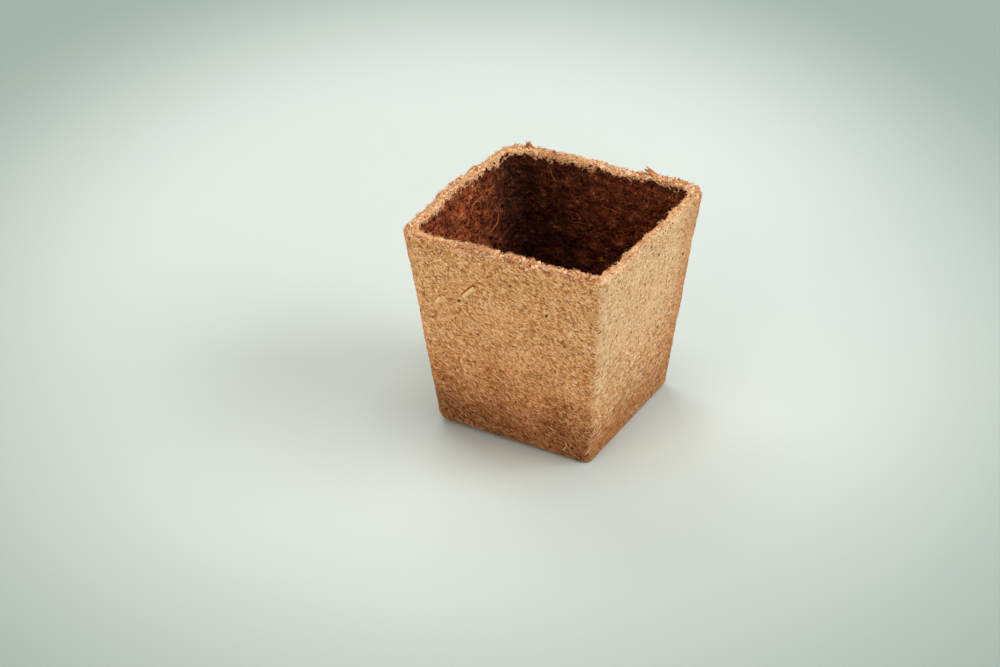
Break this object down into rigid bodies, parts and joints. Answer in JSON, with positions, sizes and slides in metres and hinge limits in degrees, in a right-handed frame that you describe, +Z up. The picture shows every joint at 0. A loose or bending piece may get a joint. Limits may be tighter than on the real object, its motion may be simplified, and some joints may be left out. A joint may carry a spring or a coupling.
{
  "type": "peat pot",
  "caption": "Small square tapered plant pot pressed from peat and plant fibre: a fine tan skin over a coarse red-brown mat, open at the top, with rounded corners and a torn rim.",
  "frame": {"origin": "middle of the base's underside, on the surface that the pot stands on", "axes": "+Z up; the front wall faces -Y and the right wall faces +X"},
  "size_m": [0.0598, 0.0598, 0.0609],
  "materials": {
    "fine_skin": "matt felted peat and wood fibre, tan",
    "coarse_mat": "rough open fibre and peat, dark red-brown",
    "straw": "pale dry straw",
    "bark": "dark brown bark",
    "crumb": "crumbly torn peat and fibre",
    "strand": "golden-brown plant fibre"
  },
  "bodies": {
    "root": {"outer_skin": "fine_skin", "inner_mat": "coarse_mat", "large_straw_sliver": "straw", "small_straw_sliver": "straw", "upper_straw_sliver": "straw", "rim_splinter": "bark", "rim_tuft": "crumb", "bark_flecks_front": "bark", "rim_crumbs_front": "crumb", "inner_strands_front": "strand", "bark_flecks_right": "bark", "rim_crumbs_right": "crumb", "inner_strands_right": "strand", "bark_flecks_back": "bark", "rim_crumbs_back": "crumb", "inner_strands_back": "strand", "bark_flecks_left": "bark", "rim_crumbs_left": "crumb", "inner_strands_left": "strand"}
  },
  "joints": []
}
